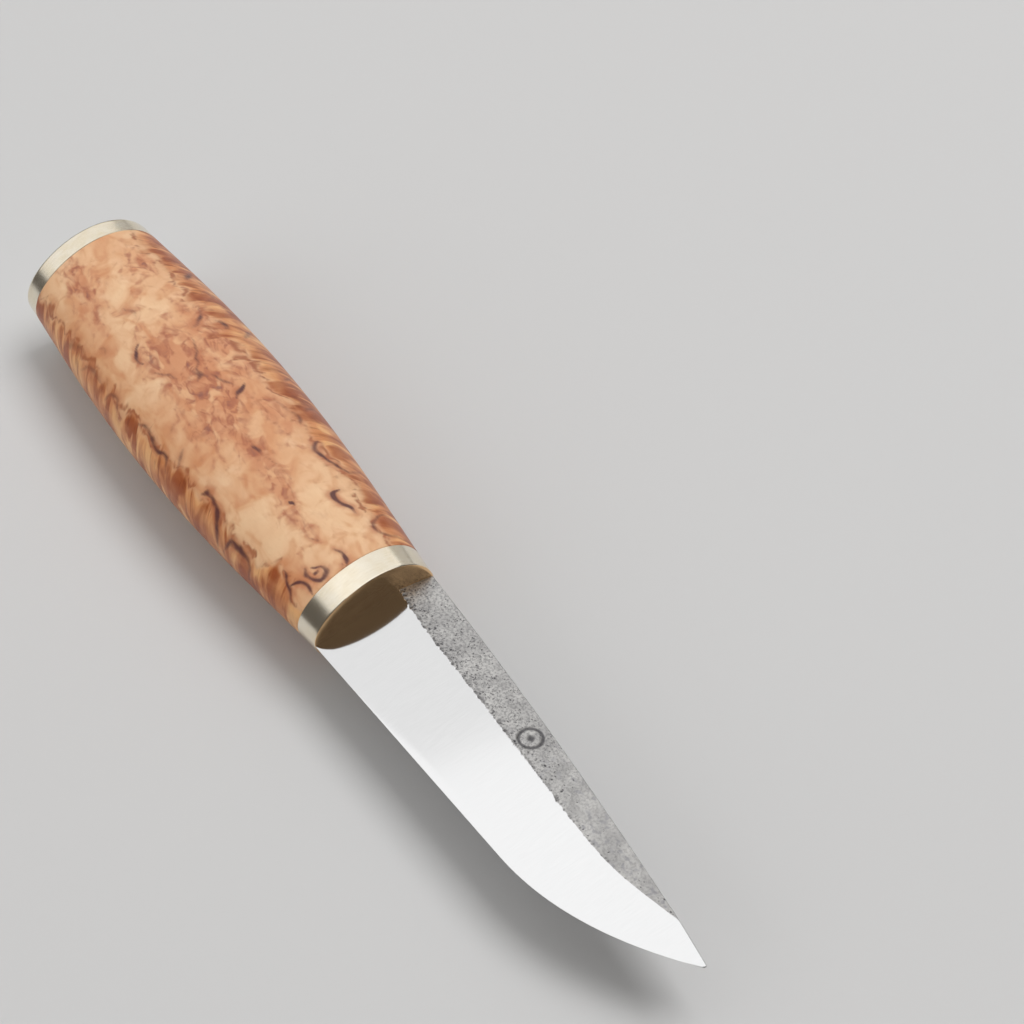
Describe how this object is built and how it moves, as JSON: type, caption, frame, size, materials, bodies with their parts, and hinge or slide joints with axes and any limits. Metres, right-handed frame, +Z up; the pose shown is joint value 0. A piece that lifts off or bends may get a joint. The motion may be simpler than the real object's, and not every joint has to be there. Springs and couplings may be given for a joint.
{
  "type": "whittling knife",
  "caption": "Scandinavian whittling knife: forged steel blade on a narrow through tang, brass bolster, curly-birch barrel handle and brass end plate.",
  "frame": {"origin": "centre of the bolster's front face, where blade and handle meet", "axes": "+X to the blade's tip, +Y to the spine of the blade, +Z up through the side of the knife as it lies flat"},
  "size_m": [0.1955, 0.0322, 0.0242],
  "materials": {
    "blade_steel": "mirror-bright bevels, grey forged flats with fine pits",
    "brass": "pale, satin polished",
    "curly_birch": "oiled, satin",
    "adhesive": "hardened epoxy, hidden inside the handle"
  },
  "bodies": {
    "root": {"blade": "blade_steel", "bolster": "brass", "handle": "curly_birch", "tang_adhesive": "adhesive", "end_plate": "brass"}
  },
  "joints": []
}
